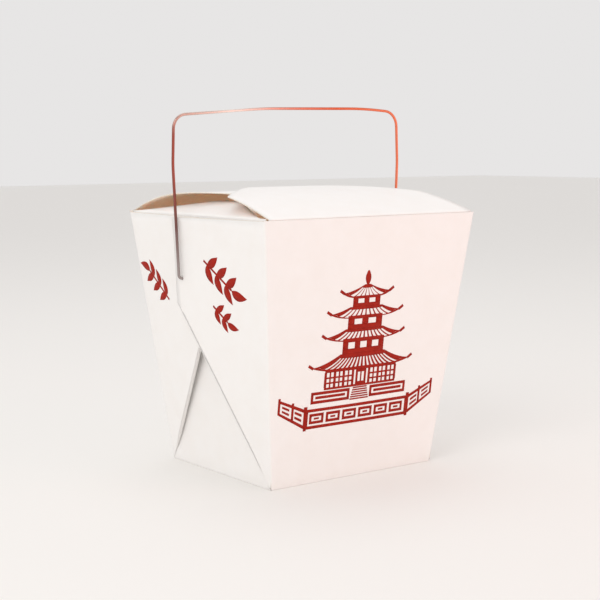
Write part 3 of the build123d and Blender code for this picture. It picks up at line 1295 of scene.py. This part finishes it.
for side in (-1, 1):
    near, far = sorted((AXIS_X + side * 5.2, AXIS_X + side * TERRACE_HALF))
    tower.frame(near, TERRACE_LOW, far, TERRACE_HIGH, 1.2)
    tower.plank(near + 2.2, 35.3, far - 2.2, 36.4)
for step in range(6):
    half = STAIR_HALF + step * 0.24
    z = STAIR_TOP - step * STEP_HEIGHT
    tower.plank(AXIS_X - half, z - STEP_INK, AXIS_X + half, z)

WALL_LOW, WALL_HIGH, WALL_HALF = 23.2, 31.4, 26.5


def wing(side, t, z_share):
    """A point on a wing of the garden wall: t runs outwards, z_share up."""
    x = AXIS_X + side * (WALL_HALF + t * 13.5)
    foot, top = WALL_LOW + t * 7.6, WALL_HIGH + t * 5.4
    return x, foot + (top - foot) * z_share


tower.frame(AXIS_X - WALL_HALF, WALL_LOW, AXIS_X + WALL_HALF, WALL_HIGH, 1.25)
for i in range(6):
    left = AXIS_X - WALL_HALF + 2.0 + i * 8.28
    tower.frame(left, WALL_LOW + 2.0, left + 7.1, WALL_HIGH - 2.0, 1.15)
    tower.plank(left + 2.3, WALL_LOW + 3.7, left + 4.8, WALL_HIGH - 3.7)
for side in (-1, 1):
    for low in (0, 0.82):
        tower.patch(4, 1, lambda u, v: wing(side, u, low + 0.18 * v))
    for t in (0.03, 0.48, 0.97):
        tower.stroke(wing(side, t, 0.05), wing(side, t, 1.12), 1.1)
    for t in (0.14, 0.6):
        for low in (0.3, 0.57):
            tower.patch(2, 1, lambda u, v: wing(side, t + 0.26 * u, low + 0.14 * v))
    post = AXIS_X + side * WALL_HALF
    tower.plank(post - 0.7, WALL_LOW - 0.6, post + 0.7, WALL_HIGH + 1.2)


def on_front(x, z, lift):
    """The front panel's surface as the print sees it."""
    across = x / corner(1, -1, z).x
    return face_point(-1, across, z) + FACE_NORMAL * lift


tower_print = print_piece("tower_print", tower, on_front)

# %% [markdown]
# The end carries three small sprigs of leaves, one on the back web and two on the front
# one. A leaf is a strip whose width swells and closes again, so that one short function
# makes every leaf, whatever its size and tilt.

# %% Leaf sprigs on the end
def draw_leaf(drawing, root, tilt, length, width):
    """One pointed leaf; tilt is in degrees from +x, and the tip curls down a little."""

    def place(u, v):
        swell = width * sin(pi * u**0.8) * (v - 0.5)
        angle = radians(tilt - 24 * u)
        along = length * u
        return (
            root[0] + along * cos(angle) - swell * sin(angle),
            root[1] + along * sin(angle) + swell * cos(angle),
        )

    drawing.patch(8, 2, place)


def draw_sprig(drawing, start, end, pairs, leaf):
    """A stem with pairs of leaves along it and one leaf at its tip."""
    drawing.stroke(start, end, 0.9)
    tilt = degrees(atan2(end[1] - start[1], end[0] - start[0]))
    for i in range(pairs):
        share = (i + 0.4) / pairs
        root = [a + (b - a) * share for a, b in zip(start, end)]
        draw_leaf(drawing, root, tilt + 58, leaf, leaf * 0.44)
        draw_leaf(drawing, root, tilt - 34, leaf * 0.9, leaf * 0.44)
    draw_leaf(drawing, end, tilt + 8, leaf * 1.1, leaf * 0.46)


def on_web(side_y):
    """A web's surface as the print sees it: the drawing's x runs along y."""
    return lambda x, z, lift: web_point(side_y, x, z, -lift)


back_sprig = Drawing()
draw_sprig(back_sprig, (23.5, 71.5), (38.0, 82.5), 3, 7.6)
back_sprig_print = print_piece("back_web_sprig_print", back_sprig, on_web(1))

front_sprigs = Drawing()
draw_sprig(front_sprigs, (-9.5, 90.5), (-26.0, 79.5), 3, 8.6)
draw_sprig(front_sprigs, (-13.5, 72.5), (-21.5, 66.5), 2, 6.4)
front_sprigs_print = print_piece("front_web_sprigs_print", front_sprigs, on_web(-1))
